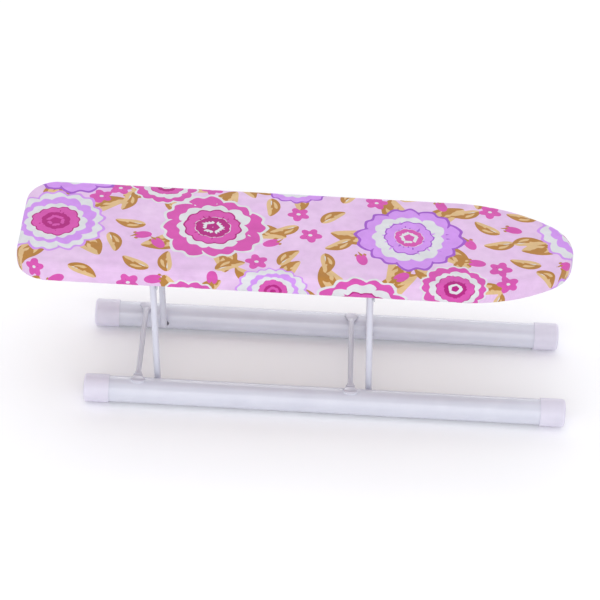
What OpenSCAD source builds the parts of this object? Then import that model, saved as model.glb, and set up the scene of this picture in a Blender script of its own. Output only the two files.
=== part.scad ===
// Folding tabletop ironing board: a padded board with a rounded nose, carried by two
// wire legs that hinge in a base of two parallel tubes. The legs and the board form a
// parallelogram, so the board swings down towards its nose and lies flat on the base.
// Units are millimetres. +Z is up and +X points to the nose.

/* [Board] */
// Length of the covered board
board_len = 500; // [460:5:540]
// Width of the covered board
board_w = 130; // [124:1:140]
// Length of the tapered nose
nose_len = 105; // [95:1:120]
// Radius of the tip of the nose
nose_tip_r = 46; // [40:1:50]
// Corner radius of the square end
corner_r = 30; // [20:1:40]
// Thickness of the wooden core
core_t = 9; // [8:0.5:12]
// Thickness of the foam pad
pad_t = 8; // [6:0.5:10]
// Thickness of the fabric cover
cover_t = 0.8; // [0.6:0.1:1]
// How far the hem reaches in under the board
hem_in = 13; // [10:0.5:14]

/* [Base] */
// Outer diameter of the base tubes
tube_d = 24; // [22:0.5:25]
// Wall of the base tubes
tube_wall = 1.2; // [1:0.1:2]
// Length of each base tube
tube_len = 440; // [430:5:460]
// Distance between the centre lines of the two tubes
tube_spacing = 112; // [110:1:116]
// Wall of the push-on end caps
cap_wall = 1; // [0.8:0.1:1.5]
// Length of an end cap
cap_len = 23; // [20:1:30]
// Diameter of the cross bars
bar_d = 5; // [4:0.5:6]
// Distance from each leg hinge back to its cross bar
bar_back = 17.5; // [15:0.5:20]
// How far the base's middle lies ahead of the board's middle
base_ahead = 33; // [30:1:36]

/* [Legs] */
// Diameter of the leg wire
wire_d = 6; // [5:0.5:6]
// Distance from the base's square end to the left hinge
hinge_from_end = 66.5; // [60:0.5:75]
// Distance between the two leg hinges
leg_spacing = 196; // [180:1:205]
// Height of the board's underside above the ground
underside_z = 142; // [130:1:150]
// Backward lean of the open legs against their stops, in degrees
lean = 2.9; // [2:0.1:4]
// Centre-line radius of the bends at the top of a leg
top_bend_r = 8; // [7:0.5:9]
// Centre-line radius of the bends at the hinge pins
pin_bend_r = 4.5; // [4:0.5:5]

/* [Clips] */
// Thickness of the sheet steel
sheet_t = 1.2; // [1:0.1:1.5]
// Width of a bar clip
clip_w = 14; // [10:1:16]
// Distance from the middle to each bar clip
clip_y = 18; // [14:1:20]
// Distance from the leg bar to each screw
screw_x = 11; // [10:0.5:12]
// Radial gap of the leg wire in its holes and clips
hinge_gap = 0.1; // [0.05:0.01:0.1]

/* [Hidden] */
$fn = 72;
eps = 0.01;

// Colours
paint = [0.84, 0.83, 0.87];
cap_plastic = [0.88, 0.87, 0.92];
wood = [0.72, 0.58, 0.42];
foam = [0.92, 0.90, 0.82];
fabric = [0.86, 0.70, 0.88];
elastic = [0.93, 0.93, 0.92];
zinc = [0.70, 0.71, 0.74];

// Base
tube_r = tube_d / 2;
cap_gap = 0.05;
cap_end = 2;
cap_round = 2.5;
cap_r = tube_r + cap_gap + cap_wall;
base_total = tube_len + 2 * cap_end;
tube_y = tube_spacing / 2;
tube_z = cap_r;
bar_r = bar_d / 2;
bar_tab_w = 14;
bar_tab_t = 2;
bar_tab_near = 2.5;
bar_tab_past = 3;
bar_z = tube_z + tube_r + bar_tab_t / 2;
// Stations along a bar's end: distance from the tube's middle, width and thickness
bar_stations = [[14, bar_d, bar_d - 0.01], [10, 6, 4], [6.5, 8.5, 3], [bar_tab_near, bar_tab_w, bar_tab_t]];

// Whole object: the origin is below the middle of its box
x_low = min(-board_len / 2, base_ahead - base_total / 2);
x_high = max(board_len / 2, base_ahead + base_total / 2);
board_x = -(x_low + x_high) / 2;
base_x = board_x + base_ahead;

// Legs
wire_r = wire_d / 2;
hinge_x_left = base_x - base_total / 2 + hinge_from_end;
hinge_x_right = hinge_x_left + leg_spacing;
leg_top_z = underside_z - sheet_t - hinge_gap - wire_r;
leg_len = (leg_top_z - tube_z) / cos(lean);
leg_top_dx = -leg_len * sin(lean);
pin_clear = 0.1;
pin_bend_y = tube_y - tube_r + pin_clear;
wire_y = pin_bend_y - pin_bend_r;
pin_end_y = tube_y - 6;
hole_relief = 1.2;

// Clips, plates and screws, measured from the leg's top bar
clip_x = 16.5;
plate_x = 20;
plate_y = 46;
ear_y = 34;
tab_drop = 17;
tab_w = 9;
tab_y = 34.5;
foot_z = wire_r + hinge_gap;
screw_head_r = 3.4;
screw_head_t = 1.8;
screw_r = 1.6;
screw_hole_r = 1.75;
screw_len = 9;
slot_w = 0.8;
slot_len = 4;
slot_deep = 0.9;

// Pad, cover and hem
skin_gap = 0.2;
top_t = core_t + pad_t + skin_gap / 2 + cover_t;
pad_inset = cover_t + skin_gap;
tunnel_w = 4.6;
tunnel_t = 3.6;
elastic_w = 2.6;
elastic_t = 1.6;

// The board's outline, moved in by "inset": a square end with round corners, straight
// sides, and a nose of two large arcs that run into the round tip
module board_outline(inset = 0) {
    half_w = board_w / 2;
    taper_x = board_len / 2 - nose_len;
    tip_x = board_len / 2 - nose_tip_r;
    reach = tip_x - taper_x;
    side_r = (reach * reach + half_w * half_w - nose_tip_r * nose_tip_r) / (2 * (half_w - nose_tip_r));
    meet_x = tip_x + (nose_tip_r - inset) * reach / (side_r - nose_tip_r);
    end_x = -board_len / 2;
    corner_x = end_x + corner_r;
    corner_y = half_w - corner_r;
    translate([corner_x, inset - half_w])
        square([taper_x - corner_x, 2 * (half_w - inset)]);
    translate([end_x + inset, -corner_y])
        square([corner_r, 2 * corner_y]);
    for (side = [-1, 1])
        translate([corner_x, side * corner_y])
            circle(corner_r - inset);
    translate([tip_x, 0])
        circle(nose_tip_r - inset);
    intersection() {
        translate([taper_x - eps, -half_w])
            square([meet_x - taper_x + eps, board_w]);
        translate([taper_x, half_w - side_r])
            circle(side_r - inset, $fn = 180);
        translate([taper_x, side_r - half_w])
            circle(side_r - inset, $fn = 180);
    }
}

// A flat layer of the board between two insets and two heights above the underside
module board_layer(inset, low, high) {
    translate([board_x, 0, underside_z + low])
        linear_extrude(high - low)
            board_outline(inset);
}

module board_ring(outer, inner, low, high) {
    difference() {
        board_layer(outer, low, high);
        board_layer(inner, low - 1, high + 1);
    }
}

// Places its children at the open leg's top bar, for the leg that hinges at hinge_x
module at_leg_top(hinge_x) {
    translate([hinge_x + leg_top_dx, 0, leg_top_z])
        children();
}

module at_clip_screws() {
    for (y = [-clip_y, clip_y])
        for (x = [-screw_x, screw_x])
            translate([x, y, 0])
                children();
}

// A cylinder along Y between two places
module rod_y(r, from, to) {
    translate([0, from, 0])
        rotate([-90, 0, 0])
            cylinder(r = r, h = to - from);
}

// A quarter bend of wire in the YZ plane about the origin, in the quadrant y > 0, z > 0
module wire_bend(bend_r, r) {
    rotate([90, 0, 90])
        rotate_extrude(angle = 90)
            translate([bend_r, 0])
                circle(r, $fn = 48);
}

// One base tube. The hinge holes in its inner face are a little oblong, so that the
// sprung ends of a leg can be fed in
module base_tube(side) {
    color(paint)
        difference() {
            translate([base_x - tube_len / 2, side * tube_y, tube_z])
                rotate([0, 90, 0])
                    difference() {
                        cylinder(r = tube_r, h = tube_len);
                        translate([0, 0, -1])
                            cylinder(r = tube_r - tube_wall, h = tube_len + 2);
                    }
            for (x = [hinge_x_left, hinge_x_right])
                for (relief = [0, hole_relief])
                    translate([x + relief, side * tube_y, tube_z])
                        rotate([side * 90, 0, 0])
                            cylinder(r = wire_r + hinge_gap, h = tube_r + 1);
        }
}

// A push-on cap: a sleeve over the tube with a closed end and a rounded edge
module end_cap(side, end) {
    color(cap_plastic)
        translate([base_x + end * (tube_len / 2 + cap_end), side * tube_y, tube_z])
            rotate([0, -end * 90, 0])
                rotate_extrude()
                    difference() {
                        union() {
                            translate([0, cap_round])
                                square([cap_r, cap_len - cap_round]);
                            square([cap_r - cap_round, cap_round]);
                            translate([cap_r - cap_round, cap_round])
                                intersection() {
                                    circle(cap_round, $fn = 48);
                                    translate([0, -cap_round])
                                        square(cap_round);
                                }
                        }
                        translate([-1, cap_end])
                            square([tube_r + cap_gap + 1, cap_len]);
                    }
}

// A slice of a bar end: as wide as w and as thick as t, with round edges
module bar_slice(offset_y, w, t) {
    for (side = [-1, 1])
        translate([side * (w - t) / 2, tube_y - offset_y, bar_z])
            rotate([-90, 0, 0])
                cylinder(r = t / 2, h = 0.1, $fn = 32);
}

// One end of a cross bar: flattened and flared, then welded along the top of the tube
module bar_end() {
    for (i = [1 : len(bar_stations) - 1])
        hull() {
            bar_slice(bar_stations[i - 1][0], bar_stations[i - 1][1], bar_stations[i - 1][2]);
            bar_slice(bar_stations[i][0], bar_stations[i][1], bar_stations[i][2]);
        }
    translate([-bar_tab_w / 2, tube_y - bar_tab_near, bar_z - bar_tab_t])
        cube([bar_tab_w, bar_tab_near + bar_tab_past, 1.5 * bar_tab_t]);
}

// A round bar across the tubes
module cross_bar(hinge_x) {
    bar_end_y = tube_y - bar_stations[0][0];
    color(paint)
        translate([hinge_x - bar_back, 0, 0])
            difference() {
                union() {
                    translate([0, 0, bar_z])
                        rod_y(bar_r, -bar_end_y, bar_end_y);
                    for (side = [0, 1])
                        mirror([0, side, 0])
                            bar_end();
                }
                for (side = [-1, 1])
                    translate([-bar_tab_w, side * tube_y, tube_z])
                        rotate([0, 90, 0])
                            cylinder(r = tube_r + eps, h = 2 * bar_tab_w);
            }
}

// A wire leg: a U with its top bar under the board and its ends bent out as hinge pins
module leg(hinge_x) {
    color(paint)
        translate([hinge_x, 0, tube_z])
            rotate([0, -lean, 0]) {
                translate([0, 0, leg_len])
                    rod_y(wire_r, top_bend_r - wire_y, wire_y - top_bend_r);
                for (side = [0, 1])
                    mirror([0, side, 0]) {
                        translate([0, wire_y, pin_bend_r])
                            cylinder(r = wire_r, h = leg_len - pin_bend_r - top_bend_r);
                        translate([0, wire_y - top_bend_r, leg_len - top_bend_r])
                            wire_bend(top_bend_r, wire_r);
                        translate([0, pin_bend_y, pin_bend_r])
                            rotate([180, 0, 0])
                                wire_bend(pin_bend_r, wire_r);
                        rod_y(wire_r, pin_bend_y, pin_end_y);
                    }
            }
}

// The wooden core, with blind holes for the clip screws
module board_core() {
    color(wood)
        difference() {
            board_layer(pad_inset, 0, core_t);
            for (hinge_x = [hinge_x_left, hinge_x_right])
                at_leg_top(hinge_x)
                    at_clip_screws()
                        cylinder(r = screw_hole_r, h = foot_z + sheet_t + core_t - 1.5);
        }
}

module foam_pad() {
    color(foam)
        board_layer(pad_inset, core_t, core_t + pad_t);
}

// The fabric cover: top, sides, and a hem under the board with a tunnel for the elastic
module cover() {
    tunnel_out = hem_in - cover_t;
    tunnel_in = tunnel_out + tunnel_w;
    color(fabric) {
        board_layer(0, top_t - cover_t, top_t);
        board_ring(0, cover_t, -cover_t, top_t - cover_t);
        board_ring(0, hem_in, -cover_t, -eps);
        difference() {
            board_ring(tunnel_out, tunnel_in, -tunnel_t, -eps);
            board_ring(tunnel_out + cover_t, tunnel_in - cover_t, cover_t - tunnel_t, -cover_t);
        }
    }
}

// The flat elastic that gathers the hem
module hem_elastic() {
    out = hem_in - cover_t + (tunnel_w - elastic_w) / 2;
    color(elastic)
        board_ring(out, out + elastic_w, cover_t - tunnel_t + skin_gap, cover_t - tunnel_t + skin_gap + elastic_t);
}

// A pressed plate between the leg bar and the board. The tabs turned down at its nose
// side stop the legs just past upright.
module stop_plate(hinge_x) {
    color(zinc)
        at_leg_top(hinge_x) {
            translate([0, 0, foot_z])
                linear_extrude(sheet_t)
                    difference() {
                        union() {
                            translate([-plate_x, -ear_y])
                                square([2 * plate_x, 2 * ear_y]);
                            translate([-plate_x, -plate_y])
                                square([plate_x + foot_z + sheet_t, 2 * plate_y]);
                        }
                        at_clip_screws()
                            circle(screw_hole_r);
                    }
            for (side = [-1, 1])
                rotate([0, -lean, 0])
                    translate([foot_z, side * (tab_y + tab_w / 2) - tab_w / 2, -tab_drop])
                        cube([sheet_t, tab_w, tab_drop + foot_z + sheet_t / 2]);
        }
}

// A bent strap that holds the leg bar up against the stop plate
module bar_clip(hinge_x, side) {
    bore_r = wire_r + hinge_gap;
    color(zinc)
        at_leg_top(hinge_x)
            difference() {
                translate([0, side * clip_y + clip_w / 2, 0])
                    rotate([90, 0, 0])
                        linear_extrude(clip_w)
                            difference() {
                                union() {
                                    circle(bore_r + sheet_t);
                                    translate([-bore_r - sheet_t, 0])
                                        square([2 * (bore_r + sheet_t), foot_z]);
                                    translate([-clip_x, foot_z - sheet_t])
                                        square([2 * clip_x, sheet_t]);
                                }
                                circle(bore_r);
                                translate([-bore_r, 0])
                                    square([2 * bore_r, foot_z + sheet_t + 1]);
                                translate([-clip_x, foot_z])
                                    square([2 * clip_x, sheet_t + 1]);
                            }
                at_clip_screws()
                    cylinder(r = screw_hole_r, h = foot_z + 1);
            }
}

// The four slotted pan-head screws of one leg's clips
module clip_screws(hinge_x) {
    head_z = foot_z - sheet_t - screw_head_t;
    color(zinc)
        at_leg_top(hinge_x)
            at_clip_screws()
                difference() {
                    union() {
                        translate([0, 0, head_z])
                            cylinder(r1 = screw_head_r - 0.6, r2 = screw_head_r, h = screw_head_t);
                        translate([0, 0, foot_z - sheet_t])
                            cylinder(r = screw_r, h = screw_len);
                    }
                    for (turn = [0, 90])
                        rotate(turn)
                            translate([-slot_len / 2, -slot_w / 2, head_z - 1])
                                cube([slot_len, slot_w, slot_deep + 1]);
                }
}

base_tube(-1);  // front_tube
base_tube(1);  // rear_tube
end_cap(-1, -1);  // cap_front_left
end_cap(-1, 1);  // cap_front_right
end_cap(1, -1);  // cap_rear_left
end_cap(1, 1);  // cap_rear_right
cross_bar(hinge_x_left);  // cross_bar_left
cross_bar(hinge_x_right);  // cross_bar_right
leg(hinge_x_left);  // left_leg
leg(hinge_x_right);  // right_leg
board_core();
foam_pad();
cover();
hem_elastic();
stop_plate(hinge_x_left);  // stop_plate_left
stop_plate(hinge_x_right);  // stop_plate_right
bar_clip(hinge_x_left, -1);  // clip_left_front
bar_clip(hinge_x_left, 1);  // clip_left_rear
bar_clip(hinge_x_right, -1);  // clip_right_front
bar_clip(hinge_x_right, 1);  // clip_right_rear
clip_screws(hinge_x_left);  // clip_screws_left
clip_screws(hinge_x_right);  // clip_screws_right
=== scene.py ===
"""Looks of a folding tabletop ironing board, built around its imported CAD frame.

The cover is one sheet of printed cotton, drawn in round its hem by an elastic. Its print is
painted as flat inks on a raster of the unrolled sheet, and each vertex of the sheet carries
the share of each ink at its place. Sheet places are millimetres from the board's middle.
"""

import cmath
import math

import bpy
import numpy as np
from mathutils import Matrix, Vector
from mathutils.geometry import delaunay_2d_cdt


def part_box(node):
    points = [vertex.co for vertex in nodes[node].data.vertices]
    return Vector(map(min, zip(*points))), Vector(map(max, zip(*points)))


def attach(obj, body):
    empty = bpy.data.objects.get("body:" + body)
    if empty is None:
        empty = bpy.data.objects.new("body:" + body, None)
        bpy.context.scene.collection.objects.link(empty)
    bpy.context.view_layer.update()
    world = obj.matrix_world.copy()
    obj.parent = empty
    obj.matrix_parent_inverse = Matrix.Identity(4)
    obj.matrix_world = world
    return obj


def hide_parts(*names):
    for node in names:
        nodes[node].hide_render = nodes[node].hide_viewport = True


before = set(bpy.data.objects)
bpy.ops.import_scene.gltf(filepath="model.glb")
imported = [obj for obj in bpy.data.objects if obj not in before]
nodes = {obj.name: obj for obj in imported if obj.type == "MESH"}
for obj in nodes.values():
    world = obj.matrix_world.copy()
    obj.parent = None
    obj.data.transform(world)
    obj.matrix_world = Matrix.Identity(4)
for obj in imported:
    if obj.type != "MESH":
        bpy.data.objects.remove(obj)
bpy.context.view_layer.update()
MM = 0.001

# ---------------------------------------------------------------- camera, floor and lights
CAMERA = dict(azimuth=-0.556, elevation=38.0, roll=3.487, distance=2.179, lens=141.56)
CAMERA_TARGET = Vector((0.0028, 0.0, 0.0848))


def add_camera():
    azimuth, elevation, roll = (math.radians(CAMERA[k]) for k in ("azimuth", "elevation", "roll"))
    back = Vector((math.sin(azimuth) * math.cos(elevation),
                   -math.cos(azimuth) * math.cos(elevation),
                   math.sin(elevation)))
    level_right = (-back).cross(Vector((0, 0, 1))).normalized()
    level_up = level_right.cross(-back)
    right = level_right * math.cos(roll) + level_up * math.sin(roll)
    up = level_up * math.cos(roll) - level_right * math.sin(roll)
    data = bpy.data.cameras.new("camera")
    data.lens = CAMERA["lens"]
    data.sensor_width = 36
    data.clip_start, data.clip_end = 0.05, 50
    camera = bpy.data.objects.new("camera", data)
    turn = Matrix((right, up, back)).transposed().to_4x4()
    camera.matrix_world = Matrix.Translation(CAMERA_TARGET + back * CAMERA["distance"]) @ turn
    bpy.context.scene.collection.objects.link(camera)
    bpy.context.scene.camera = camera


def srgb(red, green, blue):
    """A colour given as 0 to 255 on screen, as linear values."""
    def linear(level):
        level /= 255
        return level / 12.92 if level <= 0.04045 else ((level + 0.055) / 1.055) ** 2.4
    return linear(red), linear(green), linear(blue), 1.0


class Material:
    """A principled material whose nodes are added one at a time."""

    def __init__(self, name, **settings):
        self.material = bpy.data.materials.new(name)
        self.material.use_nodes = True
        self.tree = self.material.node_tree
        self.shader = self.tree.nodes["Principled BSDF"]
        for socket, value in settings.items():
            self.shader.inputs[socket.replace("_", " ")].default_value = value
        self.place = self.tree.nodes.new("ShaderNodeTexCoord").outputs["Object"]

    def node(self, kind, inputs=(), **fields):
        made = self.tree.nodes.new("ShaderNode" + kind)
        for field, value in fields.items():
            setattr(made, field, value)
        for socket, value in dict(inputs).items():
            if isinstance(value, bpy.types.NodeSocket):
                self.tree.links.new(value, made.inputs[socket])
            else:
                made.inputs[socket].default_value = value
        return made

    def math(self, operation, *values):
        return self.node("Math", enumerate(values), operation=operation).outputs[0]

    def noise(self, size, detail=2.0, place=None):
        """Noise from 0 to 1 whose features are about size millimetres wide."""
        inputs = {"Vector": place or self.place, "Scale": 1 / (size * MM), "Detail": detail}
        return self.node("TexNoise", inputs).outputs["Fac"]

    def stretched(self, x, y, z):
        """The place, scaled along each axis."""
        inputs = {0: self.place, 1: (x, y, z)}
        return self.node("VectorMath", inputs, operation="MULTIPLY").outputs[0]

    def ramp(self, value, low, high, to_low=0.0, to_high=1.0):
        inputs = {"Value": value, "From Min": low, "From Max": high, "To Min": to_low, "To Max": to_high}
        return self.node("MapRange", inputs).outputs["Result"]

    def mix(self, share, first, second):
        inputs = {"Factor": share, "A": first, "B": second}
        made = self.tree.nodes.new("ShaderNodeMix")
        made.data_type = "RGBA"
        for socket, value in zip(("Factor", "A", "B"), inputs.values()):
            found = [s for s in made.inputs if s.name == socket and s.enabled][0]
            if isinstance(value, bpy.types.NodeSocket):
                self.tree.links.new(value, found)
            else:
                found.default_value = value
        return [s for s in made.outputs if s.enabled][0]

    def colour(self, value):
        self.tree.links.new(value, self.shader.inputs["Base Color"])

    def roughness(self, value):
        self.tree.links.new(value, self.shader.inputs["Roughness"])

    def bump(self, height, depth, strength=1.0):
        """Bump of that height map, where 1 is depth millimetres deep. Calls add up."""
        inputs = {"Height": height, "Distance": depth * MM, "Strength": strength}
        made = self.node("Bump", inputs)
        socket = self.shader.inputs["Normal"]
        if socket.links:
            self.tree.links.new(socket.links[0].from_socket, made.inputs["Normal"])
        self.tree.links.new(made.outputs[0], socket)


def add_floor():
    """A wide pale sheet that the board stands on."""
    half = 6.0
    mesh = bpy.data.meshes.new("floor")
    corners = [(-half, -half, 0), (half, -half, 0), (half, half, 0), (-half, half, 0)]
    mesh.from_pydata(corners, [], [(0, 1, 2, 3)])
    floor = bpy.data.objects.new("floor", mesh)
    bpy.context.scene.collection.objects.link(floor)
    paper = Material("floor_paper", Roughness=0.9)
    paper.shader.inputs["Specular IOR Level"].default_value = 0.1
    mottle = paper.noise(400, 3.0)
    paper.colour(paper.mix(mottle, srgb(251, 251, 253), srgb(254, 254, 255)))
    mesh.materials.append(paper.material)


def add_light(name, position, target, size, power):
    data = bpy.data.lights.new(name, "AREA")
    data.shape = "RECTANGLE"
    data.size, data.size_y = size
    data.energy = power
    light = bpy.data.objects.new(name, data)
    light.location = position
    light.rotation_euler = (Vector(target) - light.location).to_track_quat("-Z", "Y").to_euler()
    bpy.context.scene.collection.objects.link(light)


def add_lights():
    world = bpy.data.worlds.new("studio")
    bpy.context.scene.world = world
    world.use_nodes = True
    background = world.node_tree.nodes["Background"]
    background.inputs["Color"].default_value = (0.97, 0.98, 1.0, 1.0)
    background.inputs["Strength"].default_value = 0.86
    middle = (0, 0, 0.08)
    add_light("top_light", (-0.2, 0.4, 2.2), middle, (2.4, 2.0), 7)
    add_light("front_light", (-0.3, -2.2, 1.0), middle, (2.6, 1.2), 9)
    add_light("strip_light", (0.1, -1.7, 1.35), (0, 0, 0.02), (2.8, 0.05), 5)
    add_light("low_light", (0.2, -2.0, 0.3), (0, 0, 0.03), (2.8, 0.3), 2.5)
    add_light("back_strip", (0, 1.9, 0.5), (0, 0, 0.02), (2.8, 0.1), 5)
    add_light("back_light", (-0.1, 1.7, 1.35), (0, 0, 0.03), (0.4, 0.9), 2)
    bpy.context.scene.view_settings.view_transform = "Standard"
    bpy.context.scene.view_settings.look = "None"


# ---------------------------------------------------------------- the print
INKS = dict(
    ground=srgb(218, 182, 222), pale=srgb(214, 214, 218), beige=srgb(214, 180, 132),
    gold=srgb(176, 124, 60), lilac=srgb(202, 144, 228), magenta=srgb(207, 82, 169),
    dark=srgb(172, 32, 124), violet=srgb(156, 88, 194))
GROUND, PALE, BEIGE, GOLD, LILAC, MAGENTA, DARK, VIOLET = range(len(INKS))
PIXEL = 0.25
HALF_X, HALF_Y = 295.0, 110.0


def smooth(points, closed):
    """Points along a Catmull-Rom curve through points, which are complex numbers."""
    p = np.asarray(points, complex)
    if closed:
        p = np.concatenate([p[-1:], p, p[:2]])
    else:
        p = np.concatenate([[2 * p[0] - p[1]], p, [2 * p[-1] - p[-2]]])
    t = np.linspace(0, 1, 7)[:-1]
    a, b, c, d = (p[k:len(p) - 3 + k, None] for k in range(4))
    curve = 0.5 * (2 * b + (c - a) * t + (2 * a - 5 * b + 4 * c - d) * t ** 2
                   + (3 * b - a - 3 * c + d) * t ** 3)
    curve = curve.ravel()
    return curve if closed else np.append(curve, p[-2])


class Print:
    """Inks on the unrolled sheet, painted back to front."""

    def __init__(self):
        self.ink = np.zeros((int(2 * HALF_Y / PIXEL), int(2 * HALF_X / PIXEL)), np.uint8)
        self.random = np.random.default_rng(11)

    def area(self, ink, outline):
        """Fills the closed outline, given point by point."""
        rows, columns = self.ink.shape
        x = np.clip((outline.real + HALF_X) / PIXEL, 0, columns - 1)
        y = np.clip((outline.imag + HALF_Y) / PIXEL, 0, rows - 1)
        left, top = int(x.min()), int(y.min())
        toggles = np.zeros((int(y.max()) - top + 2, int(x.max()) - left + 2), np.int32)
        for xa, ya, xb, yb in zip(x, y, np.roll(x, -1), np.roll(y, -1)):
            if ya > yb:
                xa, ya, xb, yb = xb, yb, xa, ya
            crossed = np.arange(math.ceil(ya - 0.5), math.ceil(yb - 0.5))
            if len(crossed):
                at = xa + (crossed + 0.5 - ya) * (xb - xa) / (yb - ya)
                np.add.at(toggles, (crossed - top, np.ceil(at - 0.5).astype(int) - left), 1)
        inside = np.cumsum(toggles, 1) % 2 == 1
        part = self.ink[top:top + inside.shape[0], left:left + inside.shape[1]]
        part[inside[:part.shape[0], :part.shape[1]]] = ink

    def oval(self, ink, x, y, long_r, short_r, turn=0):
        angle = np.linspace(0, 2 * math.pi, 32, endpoint=False)
        ring = long_r * np.cos(angle) + 1j * short_r * np.sin(angle)
        self.area(ink, complex(x, y) + ring * cmath.rect(1, math.radians(turn)))

    def line(self, ink, width, centre, full_at=0.45):
        """A brush stroke along a curve: pointed at both ends and widest at full_at."""
        along = smooth(centre, False)
        t = np.linspace(0, 1, len(along))
        side = 1j * np.gradient(along)
        side /= np.maximum(abs(side), 1e-9)
        swell = np.where(t < full_at, t / max(full_at, 1e-6), (1 - t) / (1 - full_at))
        half = width / 2 * np.sin(np.clip(swell, 0, 1) * math.pi / 2) ** 0.8
        self.area(ink, np.concatenate([along + side * half, (along - side * half)[::-1]]))


def draw_leaf(sheet, root, tip, width, bend=0.0, shade=1, streaks=3):
    """A beige leaf with one gold half; strokes of each colour run along the other."""
    root, tip = complex(*root), complex(*tip)
    along = smooth([root, root + (tip - root) * (0.5 + 1j * bend), tip], False)
    t = np.linspace(0, 1, len(along))
    side = 1j * np.gradient(along)
    side *= width / 2 * np.sin(np.pi * t ** 0.8) ** 0.75 / abs(side)
    sheet.area(BEIGE, np.concatenate([along + side, (along - side)[::-1]]))
    ragged = along - 0.25 * shade * side * np.cos(t * 19)
    sheet.area(GOLD, np.concatenate([ragged, (along + shade * side * 0.95)[::-1]]))

    def streak(ink, thick, low, high, near, far):
        part = slice(int(low * len(t)), int(high * len(t)))
        sheet.line(ink, width * thick, (along + side * shade * np.linspace(near, far, len(t)))[part], 0.3)

    for k in range(streaks):
        out = (k + 0.6) / streaks
        streak(BEIGE, 0.12, 0.12 + 0.2 * out, 0.5 + 0.25 * out, 0.1, out)
        streak(GOLD, 0.06, 0.1 + 0.3 * out, 0.55 + 0.35 * out, 0, -out)
    streak(PALE, 0.09, 0.15, 0.6, -0.15, -0.6)
    streak(GOLD, 0.08, 0.0, 0.95, 0, 0)


def draw_blossom(sheet, centre, radius, turn=0.0, petals=5, ink=MAGENTA):
    """A small flower of round petals with a pale eye and dark strokes."""
    middle = complex(*centre)
    for k in range(petals):
        way = cmath.rect(1, math.radians(turn + 360 * k / petals))
        size = sheet.random.uniform(0.9, 1.1)
        at = middle + way * radius * 0.62
        sheet.oval(ink, at.real, at.imag, radius * 0.46 * size, radius * 0.36 * size,
                   math.degrees(cmath.phase(way)))
        sheet.line(DARK, radius * 0.13, [middle + way * radius * 0.2, middle + way * radius * 0.75], 0.3)
    sheet.oval(PALE, middle.real, middle.imag, radius * 0.2, radius * 0.17)


def draw_bud(sheet, centre, angle, length, width, ink=MAGENTA, stem=10.0):
    """A pointed bud in three gold sepals, on a stem."""
    turn = cmath.rect(1, math.radians(angle))
    middle = complex(*centre)

    def placed(along, across):
        return middle + turn * complex(along * length, across * width)

    body = [(-0.5, 0), (-0.4, 0.36), (0, 0.5), (0.38, 0.36), (0.55, 0.02), (0.4, -0.33), (0, -0.5),
            (-0.4, -0.36)]
    sheet.area(ink, smooth([placed(a, b) for a, b in body], True))
    for across in (-0.45, 0.05, 0.45):
        sheet.line(GOLD, width * 0.2, [placed(-0.62, across * 0.5), placed(-0.46, across),
                                       placed(-0.2 - abs(across) * 0.2, across * 1.1)], 0.5)
    if stem:
        foot = placed(-0.5, 0)
        sheet.line(GOLD, width * 0.16, [foot, foot - turn * stem * cmath.rect(1, 0.25)], 0.1)


# Rings of a bloom from the outside in: share of its radius, petals, ink and streak ink.
LILAC_BLOOM = [(1.0, 9, PALE, LILAC), (0.8, 8, LILAC, PALE), (0.62, 7, PALE, LILAC),
               (0.45, 6, MAGENTA, DARK), (0.27, 5, DARK, MAGENTA)]
MAGENTA_BLOOM = [(1.0, 8, MAGENTA, PALE), (0.76, 7, PALE, MAGENTA), (0.54, 6, MAGENTA, DARK),
                 (0.32, 5, DARK, PALE)]
VIOLET_BLOOM = [(1.0, 8, LILAC, VIOLET), (0.74, 7, PALE, LILAC), (0.5, 6, LILAC, VIOLET),
                (0.28, 5, MAGENTA, PALE)]


def draw_petal(sheet, ink, streak_ink, root, tip, width):
    """A round-ended petal with a thin shadow and strokes running out from its root."""
    way = tip - root
    rise = 1j * way / abs(way) * width / 2
    edge = [(0, 0.15), (0.35, 0.7), (0.75, 1), (0.98, 0.5), (0.93, 0), (1, -0.5), (0.75, -1), (0.35, -0.7),
            (0, -0.15)]
    edge = [(along, across * sheet.random.uniform(0.9, 1.08)) for along, across in edge]
    for shade, size in ((streak_ink, 1.07), (ink, 1.0)):
        outline = [root + size * (way * along + rise * across) for along, across in edge]
        sheet.area(shade, smooth(outline, True))
    for across in (-0.6, -0.2, 0.2, 0.6):
        reach = sheet.random.uniform(0.6, 0.85)
        sheet.line(streak_ink, max(1.8, width * 0.1),
                   [root + way * 0.25 + rise * across * 0.4, root + way * 0.5 + rise * across * 0.9,
                    root + way * reach + rise * across], 0.2)


def draw_bloom(sheet, centre, radius, rings):
    """A full flower of petals in rings, each ring smaller and turned against the last."""
    turn = sheet.random.uniform(0, 360)
    for share, count, ink, streak_ink in rings:
        turn += 180 / count
        for k in range(count):
            length = radius * share * sheet.random.uniform(0.92, 1.06)
            way = cmath.rect(length, math.radians(turn + 360 * k / count))
            draw_petal(sheet, ink, streak_ink, centre + way * 0.1, centre + way, 5.6 * length / count)


def scatter(sheet, size, tries, taken):
    """Random places for motifs of one size, clear of those taken, which they join."""
    places = []
    for _ in range(tries):
        place = complex(sheet.random.uniform(-HALF_X, HALF_X), sheet.random.uniform(-HALF_Y, HALF_Y))
        if all(abs(place - other) > size + room for other, room in taken):
            taken.append((place, size))
            places.append(place)
    return places


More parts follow.
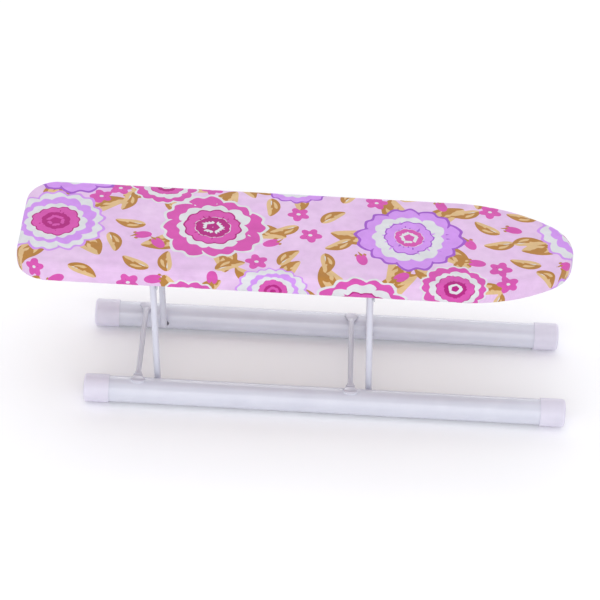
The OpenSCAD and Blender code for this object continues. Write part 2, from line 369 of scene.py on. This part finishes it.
def paint_print():
    """A generic all-over floral: blooms with leaves behind them, and small flowers between."""
    sheet = Print()
    taken = []
    kinds = (LILAC_BLOOM, MAGENTA_BLOOM, VIOLET_BLOOM)
    blooms = [(place, size) for size, tries in ((46, 22), (30, 60))
              for place in scatter(sheet, size, tries, taken)]
    for place, size in blooms:
        for turn in sheet.random.uniform(0, 360) + np.array([0, 70, 150, 210, 285]):
            way = cmath.rect(size, math.radians(turn))
            root, tip = place + way * 0.5, place + way * sheet.random.uniform(1.35, 1.6)
            draw_leaf(sheet, (root.real, root.imag), (tip.real, tip.imag), size * 0.5, 0.1)
    for place in scatter(sheet, 13, 1200, taken):
        tip = place + cmath.rect(15, sheet.random.uniform(0, 2 * math.pi))
        root = 2 * place - tip
        draw_leaf(sheet, (root.real, root.imag), (tip.real, tip.imag), 13, 0.1)
    for k, place in enumerate(scatter(sheet, 9, 2500, taken)):
        if k % 2:
            draw_blossom(sheet, (place.real, place.imag), 10, sheet.random.uniform(0, 72))
        else:
            draw_bud(sheet, (place.real, place.imag), sheet.random.uniform(0, 360), 15, 10, stem=8)
    for number, (place, size) in enumerate(blooms):
        draw_bloom(sheet, place, size, kinds[number % len(kinds)])
    return sheet


# ---------------------------------------------------------------- the cover
TUBE_Y, TUBE_Z, TUBE_R, BAR_Z = 56.0, 13.05, 12.0, 26.05
BAR_PLACES = {"cross_bar_left": -142.5, "cross_bar_right": 53.5}
NOSE_LEN = 105.0
NOSE_TIP_R = 46.0
CORNER_R = 30.0
STATIONS = 1060
GRID = 1.12


class Board:
    """The board's edge and levels, in millimetres, from the CAD cover, core and elastic."""
    low, high = (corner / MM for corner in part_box("cover"))
    core_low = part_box("board_core")[0] / MM
    elastic_low, elastic_high = (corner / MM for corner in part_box("hem_elastic"))
    middle_x = (low.x + high.x) / 2
    length = high.x - low.x
    half_w = high.y
    top = high.z
    underside = core_low.z


def board_outline(count):
    """Places round the board's edge and outward normals, as complex numbers, anticlockwise
    from the middle of the square end. Each half is a run of straights and arcs."""
    reach = NOSE_LEN - NOSE_TIP_R
    rise = Board.half_w ** 2 - NOSE_TIP_R ** 2
    side_r = (reach ** 2 + rise) / (2 * (Board.half_w - NOSE_TIP_R))
    sweep = math.atan2(reach, side_r - Board.half_w)
    runs = [(Board.half_w - CORNER_R, 0), (CORNER_R * math.pi / 2, 1 / CORNER_R),
            (Board.length - NOSE_LEN - CORNER_R, 0), (side_r * sweep, 1 / side_r),
            (NOSE_TIP_R * (math.pi / 2 - sweep), 1 / NOSE_TIP_R)]
    ends = np.cumsum([0] + [length for length, _ in runs])
    turned = -math.pi / 2 + np.cumsum([0] + [length * bend for length, bend in runs])
    fine = np.linspace(0, ends[-1], 8001)
    middles = (fine[1:] + fine[:-1]) / 2
    steps = np.exp(1j * np.interp(middles, ends, turned)) * np.diff(fine)
    path = -Board.length / 2 + np.concatenate([[0], np.cumsum(steps)])
    at = np.linspace(0, ends[-1], count // 2 + 1)
    place = np.interp(at, fine, path.real) + 1j * np.interp(at, fine, path.imag)
    normal = -1j * np.exp(1j * np.interp(at, ends, turned))
    place = np.concatenate([place, place[-2:0:-1].conj()])
    normal = np.concatenate([normal, normal[-2:0:-1].conj()])
    return place, normal


def arc(centre, radius, start, end, steps):
    """Points of a profile arc, as (inset, height) rows. Angles are in degrees."""
    angle = np.radians(np.linspace(start, end, steps))
    return np.stack([centre[0] + radius[0] * np.cos(angle), centre[1] + radius[1] * np.sin(angle)], 1)


def fill_grid(ring, spacing):
    """Staggered grid points inside a convex ring, and the triangles that join them all."""
    rows = np.arange(ring.imag.min(), ring.imag.max(), spacing * 0.88)
    columns = np.arange(ring.real.min(), ring.real.max(), spacing)
    inner = []
    corner, normal = ring[::5], -1j * np.roll(ring, -1)[::5] + 1j * np.roll(ring, 1)[::5]
    normal /= abs(normal)
    for number, y in enumerate(rows):
        row = columns + spacing / 2 * (number % 2) + 1j * y
        away = ((row[:, None] - corner) * normal.conj()).real.max(1)
        inner.append(row[away < -0.6 * spacing])
    points = np.concatenate([ring] + inner)
    count = len(ring)
    edges = [(k, (k + 1) % count) for k in range(count)]
    flat = [Vector((p.real, p.imag)) for p in points]
    made = delaunay_2d_cdt(flat, edges, [], 1, 1e-6, False)
    points = np.array([complex(*v) for v in made[0]])
    return points, [tuple(face) for face in made[2]]


def pillow(points):
    """How far the padded top stands up at each place, in millimetres: a low crown with the
    slight unevenness of foam under cloth."""
    across = np.clip(1 - (points.imag / Board.half_w) ** 2, 0, 1)
    along = np.clip(1 - (points.real * 2 / Board.length) ** 6, 0, 1)
    waves = sum(height * np.sin(points.real / long + points.imag / wide + turn)
                for height, long, wide, turn in [(0.10, 21, 17, 0.3), (0.08, -13, 11, 1.9),
                                                 (0.05, 7.3, -9.1, 4.0)])
    return (0.9 + waves) * (across * along) ** 0.5


def skin(name, rings, top=None, bottom=None):
    """A mesh through rings of the same count, closed by flat fills where they are given."""
    count = len(rings[0])
    parts = [np.concatenate(rings)]
    faces = []
    for level in range(len(rings) - 1):
        for k in range(count):
            here, there = level * count + k, level * count + (k + 1) % count
            faces.append((here + count, there + count, there, here))
    for fill, level, flip in ((top, 0, False), (bottom, len(rings) - 1, True)):
        if fill is None:
            continue
        points, triangles = fill
        start = sum(len(part) for part in parts)
        parts.append(points[count:])
        for face in triangles:
            joined = [level * count + v if v < count else start + v - count for v in face]
            faces.append(tuple(joined[::-1] if flip else joined))
    vertices = np.concatenate(parts) * MM
    mesh = bpy.data.meshes.new(name)
    mesh.from_pydata(vertices.tolist(), [], faces)
    mesh.polygons.foreach_set("use_smooth", [True] * len(mesh.polygons))
    mesh.update()
    made = bpy.data.objects.new(name, mesh)
    bpy.context.scene.collection.objects.link(made)
    return made


def ring_at(outline, normal, inset, height):
    """A ring of points at that inset from the edge and height; both may vary round it."""
    flat = outline - normal * inset
    height = np.broadcast_to(height, flat.shape)
    return np.stack([flat.real + Board.middle_x, flat.imag, height], 1)


def ripple(count, waves, seed):
    """A closed uneven wave round the edge, from -1 to 1, with about that many crests."""
    random = np.random.default_rng(seed)
    turn = np.linspace(0, 2 * math.pi, count, endpoint=False)
    total = np.zeros(count)
    for number in (waves, int(waves * 1.31) + 1, int(waves * 0.63) + 1, int(waves * 0.27) + 1):
        total += np.sin(number * turn + random.uniform(0, 7)) * random.uniform(0.6, 1.0)
    return total / abs(total).max()


def cover_profile():
    """Down the cover's edge from the top: rows of inset and height."""
    edge_r, lower_r = 5.0, 1.8
    low = Board.underside - 0.7
    tunnel = (Board.half_w + Board.elastic_low.y + (Board.elastic_high.z - Board.elastic_low.z) * 0.8,
              (Board.elastic_high.z + Board.elastic_low.z) / 2)
    down = np.linspace(Board.top - edge_r, low + lower_r, 12)[1:-1]
    side = np.stack([-0.3 * np.sin(np.linspace(0, math.pi, 12))[1:-1], down], 1)
    hem = np.stack([np.linspace(lower_r, tunnel[0] - 2.6, 7)[1:], np.full(6, low)], 1)
    return np.concatenate([
        arc((edge_r, Board.top - edge_r), (-edge_r, edge_r), 90, 0, 8), side,
        arc((lower_r, low + lower_r), (-lower_r, -lower_r), 0, 90, 4), hem,
        arc(tunnel, (-2.4, -1.65), 0, 290, 12)])


def build_cover():
    outline, normal = board_outline(STATIONS)
    profile = cover_profile()
    steps = abs(np.diff(profile, axis=0)).sum(1)
    travel = np.concatenate([[0], np.cumsum(steps)])
    gathers, puckers, slack = (ripple(STATIONS, n, seed) for n, seed in ((118, 3), (64, 5), (17, 8)))
    bend = abs(np.roll(normal, -3) - np.roll(normal, 3))
    pulled = 0.55 + 0.45 * np.clip(bend / bend.max() * 2, 0, 1)
    hem_start = travel[18]
    rings, sheet_places = [], []
    for (inset, height), gone in zip(profile, travel):
        under = np.clip((gone - hem_start) / 12, 0, 1)
        on_side = np.clip((gone - 4) / 8, 0, 1) * np.clip((hem_start + 4 - gone) / 8, 0, 1)
        sag = under ** 1.3 * pulled * (0.75 + 0.75 * gathers)
        wave = on_side * (0.16 * slack + 0.10 * puckers * pulled) + under * 0.35 * pulled * gathers
        rings.append(ring_at(outline, normal, inset - wave, height - np.maximum(sag, 0) * 0.75))
        sheet_places.append(outline - normal * (profile[0][0] - gone))
    points, triangles = fill_grid(outline - normal * profile[0][0], GRID)
    lift = pillow(points)
    blend = np.clip(distance_inside(points, outline, normal) / 12, 0, 1)
    raised = Board.top + lift * blend * blend * (3 - 2 * blend)
    crown = np.stack([points.real + Board.middle_x, points.imag, raised], 1)
    cover = skin("cotton_cover", rings, top=(crown, triangles))
    sheet_places.append(points[STATIONS:])
    add_ink_shares(cover, np.concatenate(sheet_places))
    cover.data.materials.append(cover_material())
    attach(cover, "board")
    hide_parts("cover")
    return cover


def distance_inside(points, outline, normal):
    """How far each point lies inside the first ring of the cover."""
    edge, out = outline[::6], normal[::6]
    found = np.empty(len(points))
    for start in range(0, len(points), 4000):
        part = points[start:start + 4000, None]
        found[start:start + 4000] = -((part - edge) * out.conj()).real.max(1)
    return found - 5.0


def add_ink_shares(cover, places):
    """Stores each ink's softened share at each vertex, three inks to an attribute."""
    ink = paint_print().ink
    x = np.clip((places.real + HALF_X) / PIXEL - 0.5, 0, ink.shape[1] - 2)
    y = np.clip((places.imag + HALF_Y) / PIXEL - 0.5, 0, ink.shape[0] - 2)
    left, low = x.astype(int), y.astype(int)
    right_part, high_part = x - left, y - low
    for first in range(0, len(INKS), 3):
        shares = np.zeros((len(places), 3), np.float32)
        for k in range(3):
            soft = soften((ink == first + k).astype(np.float32), 3)
            below = soft[low, left] * (1 - right_part) + soft[low, left + 1] * right_part
            above = soft[low + 1, left] * (1 - right_part) + soft[low + 1, left + 1] * right_part
            shares[:, k] = below * (1 - high_part) + above * high_part
        attribute = cover.data.attributes.new(f"inks_{first}", "FLOAT_VECTOR", "POINT")
        attribute.data.foreach_set("vector", shares.ravel())


def soften(picture, reach):
    """Two box blurs of 2 * reach + 1 samples along each axis."""
    for _ in range(2):
        for axis in (0, 1):
            pad = [(reach + 1, reach) if a == axis else (0, 0) for a in (0, 1)]
            total = np.cumsum(np.pad(picture, pad, mode="edge"), axis)
            span = 2 * reach + 1
            size = picture.shape[axis]
            picture = (np.take(total, range(span, span + size), axis)
                       - np.take(total, range(size), axis)) / span
    return picture


def cover_material():
    """Printed cotton: the strongest ink at each place, a plain weave with painted shade where its threads
    lie low, and a soft fuzz.
    """
    cloth = Material("cover_cotton", Roughness=0.82, Sheen_Weight=0.18, Sheen_Roughness=0.45)
    cloth.shader.inputs["Specular IOR Level"].default_value = 0.22
    colours = list(INKS.values())
    shares = []
    for first in range(0, len(INKS), 3):
        vector = cloth.node("Attribute", attribute_name=f"inks_{first}").outputs["Vector"]
        shares += list(cloth.node("SeparateXYZ", {0: vector}).outputs)
    wide = cloth.ramp(cloth.noise(45, 2.0), 0.3, 0.7)
    warm = srgb(222, 192, 224)
    colour = cloth.mix(wide, colours[GROUND], warm)
    best = shares[GROUND]
    for ink in range(1, len(INKS)):
        lead = cloth.math("SUBTRACT", shares[ink], best)
        mask = cloth.ramp(lead, -0.07, 0.07)
        colour = cloth.mix(mask, colour, colours[ink])
        best = cloth.math("MAXIMUM", best, shares[ink])
    blotch = cloth.ramp(cloth.noise(9, 3.0), 0.25, 0.75, 0.93, 1.05)
    weave = weave_height(cloth, 0.62)
    # Painted shade of the weave: the colour goes darker where the threads lie low and lighter on their
    # tops. shade is the random blotches times this painted weave shade.
    weave_shade = cloth.ramp(weave, 0.0, 1.0, 0.95, 1.03)
    shade = cloth.math("MULTIPLY", blotch, weave_shade)
    colour = cloth.node("VectorMath", {0: colour, "Scale": shade}, operation="SCALE").outputs[0]
    cloth.colour(colour)
    cloth.roughness(cloth.ramp(cloth.noise(3, 2.0), 0.2, 0.8, 0.74, 0.9))
    cloth.bump(weave, 0.05, 0.6)
    cloth.bump(cloth.noise(1.4, 3.0), 0.05, 0.5)
    return cloth.material


def weave_height(material, pitch):
    """A plain weave's height from 0 to 1: threads along the three axes, crossing in pairs."""
    scale = 2 * math.pi / (20 * pitch * MM)
    waves = []
    for axis in "XYZ":
        wave = material.node("TexWave", {"Vector": material.place, "Scale": scale}, wave_type="BANDS",
                             bands_direction=axis)
        waves.append(wave.outputs["Fac"])
    crossed = material.math("MULTIPLY", waves[0], waves[1])
    crossed = material.math("ADD", crossed, material.math("MULTIPLY", waves[1], waves[2]))
    crossed = material.math("ADD", crossed, material.math("MULTIPLY", waves[0], waves[2]))
    return material.math("MULTIPLY", crossed, 0.6)


# ---------------------------------------------------------------- pad and elastic
def build_pad():
    """The foam slab on the wooden core, with its upper edge rounded by the cover's pull."""
    outline, normal = board_outline(360)
    low, high = (corner.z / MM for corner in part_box("foam_pad"))
    inset = 1.4
    round_r = 4.0
    profile = np.concatenate([
        arc((inset + round_r, high - round_r), (-round_r, round_r), 90, 0, 6),
        np.array([(inset + 0.2, (low + high) / 2 - 1.5), (inset, low + 0.6), (inset + 0.6, low)])])
    rings = [ring_at(outline, normal, inset, height) for inset, height in profile]
    fills = []
    for (at, height), crowned in ((profile[0], 1), (profile[-1], 0)):
        points, triangles = fill_grid(outline - normal * at, 4.0)
        lift = crowned * 0.6 * pillow(points) * np.clip(distance_inside(points, outline, normal) / 12, 0, 1)
        fills.append((np.stack([points.real + Board.middle_x, points.imag, height + lift], 1), triangles))
    pad = skin("foam_slab", rings, fills[0], fills[1])
    foam = Material("foam", Roughness=0.95)
    cells = foam.node("TexVoronoi", {"Vector": foam.place, "Scale": 1 / (0.9 * MM)}).outputs["Distance"]
    foam.colour(foam.mix(foam.noise(12, 3.0), srgb(236, 229, 205), srgb(224, 214, 184)))
    foam.bump(cells, 0.3)
    pad.data.materials.append(foam.material)
    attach(pad, "board")
    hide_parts("foam_pad")
    return pad


def build_elastic():
    """A flat braided elastic that runs inside the hem, ribbed across."""
    count = 1400
    outline, normal = board_outline(count)
    low, high = Board.elastic_low, Board.elastic_high
    inset = low.y + Board.half_w + 1.3
    middle = (low.z + high.z) / 2
    ribs = 0.06 * np.cos(np.arange(count) * math.pi)
    rings = []
    for angle in np.linspace(0, 2 * math.pi, 13):
        across = 1.25 * np.sign(math.cos(angle)) * abs(math.cos(angle)) ** 0.6
        tall = 0.72 * np.sign(math.sin(angle)) * abs(math.sin(angle)) ** 0.6
        rings.append(ring_at(outline, normal, inset + across, middle + tall + ribs * np.sign(tall)))
    elastic = skin("hem_band", rings)
    weld = elastic.modifiers.new("join", "WELD")
    weld.merge_threshold = 0.00001
    white = Material("elastic", Roughness=0.7)
    white.colour(white.mix(white.noise(2.0, 2.0), srgb(240, 239, 237), srgb(226, 225, 224)))
    white.bump(weave_height(white, 0.8), 0.12)
    elastic.data.materials.append(white.material)
    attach(elastic, "board")
    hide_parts("hem_elastic")
    return elastic


# ---------------------------------------------------------------- hard parts
def crest(y):
    """The height of the tube's top line at that distance from the middle plane."""
    return TUBE_Z + np.sqrt(TUBE_R ** 2 - (y - TUBE_Y) ** 2)


def bar_rings():
    """Sections of a cross bar: round, then flattened and flared onto the tubes."""
    stations = [(0, 5, 5, 1), (21, 5, 5, 1), (42, 5, 5, 1), (46, 6, 4.2, 0.9), (49.5, 8.4, 3, 0.8),
                (52.5, 11, 2.3, 0.7), (55, 12.6, 2, 0.65), (57.4, 11.6, 2, 0.65), (59, 8, 1.7, 0.8),
                (59.7, 3, 1.0, 1)]
    columns = [smooth([complex(row[0], row[k]) for row in stations], False) for k in (1, 2, 3)]
    turn = np.linspace(0, 2 * math.pi, 28, endpoint=False)
    rings = []
    for y, width, thick, power in zip(columns[0].real, *(column.imag for column in columns)):
        level = min(BAR_Z, crest(y) + thick / 2) if y > 50 else BAR_Z
        across = width / 2 * np.sign(np.cos(turn)) * abs(np.cos(turn)) ** power
        up = thick / 2 * np.sign(np.sin(turn)) * abs(np.sin(turn)) ** power
        rings.append(np.column_stack([across, np.full_like(turn, y), level + up]))
    return [ring * (1, -1, 1) for ring in rings[:0:-1]] + rings


def bead_rings(side):
    """A rippled weld bead round the flared end of a bar."""
    rings = []
    turn = np.linspace(0, 2 * math.pi, 12, endpoint=False)
    for angle in np.linspace(0, 2 * math.pi, 97):
        way = np.array([6.3 * math.cos(angle), 3.6 * math.sin(angle)])
        out = np.array([math.cos(angle) / 6.3, math.sin(angle) / 3.6])
        out /= np.linalg.norm(out)
        reach = 0.85 + 0.16 * math.sin(15 * angle)
        place = way + out * reach * np.cos(turn)[:, None]
        height = crest(TUBE_Y + way[1]) + reach * np.sin(turn) * 0.9
        rings.append(np.column_stack([place[:, 0], side * (TUBE_Y + place[:, 1]), height]))
    return rings


def build_cross_bar(name, x):
    """A smooth cross bar, welded onto the tubes."""
    rings = bar_rings()
    face = [tuple(range(len(rings[0])))]
    bar = skin(name + "_round", [ring + (x, 0, 0) for ring in rings], (rings[0], face), (rings[-1], face))
    beads = [skin(f"{name}_weld_{end}", [ring + (x, 0, 0) for ring in bead_rings(side)])
             for end, side in (("front", -1), ("rear", 1))]
    paint, shaded_smooth_paint = paint_material(), shaded_bar_material()
    for piece in (bar, *beads):
        piece.data.materials.append(shaded_smooth_paint if piece is bar else paint)
        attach(piece, "base")
    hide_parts(name)


def paint_material():
    """Pale powder-coated steel with a slight orange peel."""
    paint = Material("painted_steel", Roughness=0.42, Coat_Weight=0.7, Coat_Roughness=0.09)
    tone = paint.ramp(paint.noise(22, 3.0), 0.3, 0.7)
    speck = paint.ramp(paint.noise(0.6, 2.0), 0.68, 0.78)
    colour = paint.mix(tone, srgb(210, 211, 223), srgb(204, 205, 218))
    paint.colour(paint.mix(speck, colour, srgb(190, 190, 204)))
    paint.roughness(paint.ramp(paint.noise(5, 3.0), 0.25, 0.75, 0.3, 0.46))
    paint.bump(paint.noise(1.6, 2.0), 0.05, 0.5)
    return paint.material


def shaded_bar_material():
    """The cross bars' smoother paint: the same powder coat, made slightly darker as painted shade for the
    dark edges of the glossy round bars.
    """
    paint = Material("shaded_bar_paint", Metallic=0.12, Coat_Weight=0.9, Coat_Roughness=0.11)
    tone = paint.ramp(paint.noise(30, 2.0), 0.3, 0.7)
    # A darker copy of the powder coat's colour: painted shade for the dark edges that the shiny round bars
    # show.
    paint.colour(paint.mix(tone, srgb(196, 194, 206), srgb(190, 188, 201)))
    paint.roughness(paint.ramp(paint.noise(12, 2.0), 0.25, 0.75, 0.33, 0.38))
    return paint.material


def cap_material():
    """Milky moulded plastic."""
    plastic = Material("cap_plastic", Roughness=0.34, Subsurface_Weight=0.35, Subsurface_Scale=0.004)
    plastic.shader.inputs["Subsurface Radius"].default_value = (1.0, 0.9, 1.0)
    tone = plastic.ramp(plastic.noise(14, 2.0), 0.3, 0.7)
    plastic.colour(plastic.mix(tone, srgb(222, 216, 234), srgb(215, 210, 228)))
    plastic.roughness(plastic.ramp(plastic.noise(3, 3.0), 0.25, 0.75, 0.28, 0.42))
    plastic.bump(plastic.noise(2.4, 2.0), 0.04, 0.4)
    return plastic.material


def zinc_material():
    """Bright zinc plate with faint rolling marks along X."""
    zinc = Material("zinc_steel", Metallic=1.0, Roughness=0.36)
    streaks = zinc.noise(0.7, 3.0, zinc.stretched(0.06, 1.0, 1.0))
    zinc.colour(zinc.mix(zinc.noise(7, 3.0), srgb(206, 208, 214), srgb(184, 187, 196)))
    zinc.roughness(zinc.ramp(streaks, 0.3, 0.7, 0.28, 0.5))
    zinc.bump(streaks, 0.03, 0.5)
    return zinc.material


def core_material():
    """Chipboard: pressed flakes of several browns with darker gaps."""
    board = Material("wood_core", Roughness=0.75)
    flakes = board.node("TexVoronoi", {"Vector": board.stretched(0.55, 1.0, 1.0), "Scale": 1 / (2.6 * MM)})
    tint = board.node("SeparateXYZ", {0: flakes.outputs["Color"]}).outputs[0]
    colour = board.mix(tint, srgb(204, 170, 124), srgb(168, 128, 84))
    gaps = board.ramp(flakes.outputs["Distance"], 0.35, 0.75)
    board.colour(board.mix(gaps, colour, srgb(126, 92, 58)))
    board.roughness(board.ramp(board.noise(2, 3.0), 0.25, 0.75, 0.62, 0.85))
    board.bump(flakes.outputs["Distance"], -0.12, 0.6)
    return board.material


def dress_nodes():
    """Gives each CAD node that stays its material, by the kind of part it is."""
    paint, plastic, zinc, core = paint_material(), cap_material(), zinc_material(), core_material()
    kinds = {"cap_": plastic, "clip_": zinc, "stop_plate_": zinc, "board_core": core}
    for name, node in nodes.items():
        material = next((m for start, m in kinds.items() if name.startswith(start)), paint)
        node.data.materials.clear()
        node.data.materials.append(material)


# ---------------------------------------------------------------- the scene
add_camera()
add_floor()
add_lights()
dress_nodes()
cover = build_cover()
pad = build_pad()
elastic = build_elastic()

for bar_name, bar_x in BAR_PLACES.items():
    build_cross_bar(bar_name, bar_x)
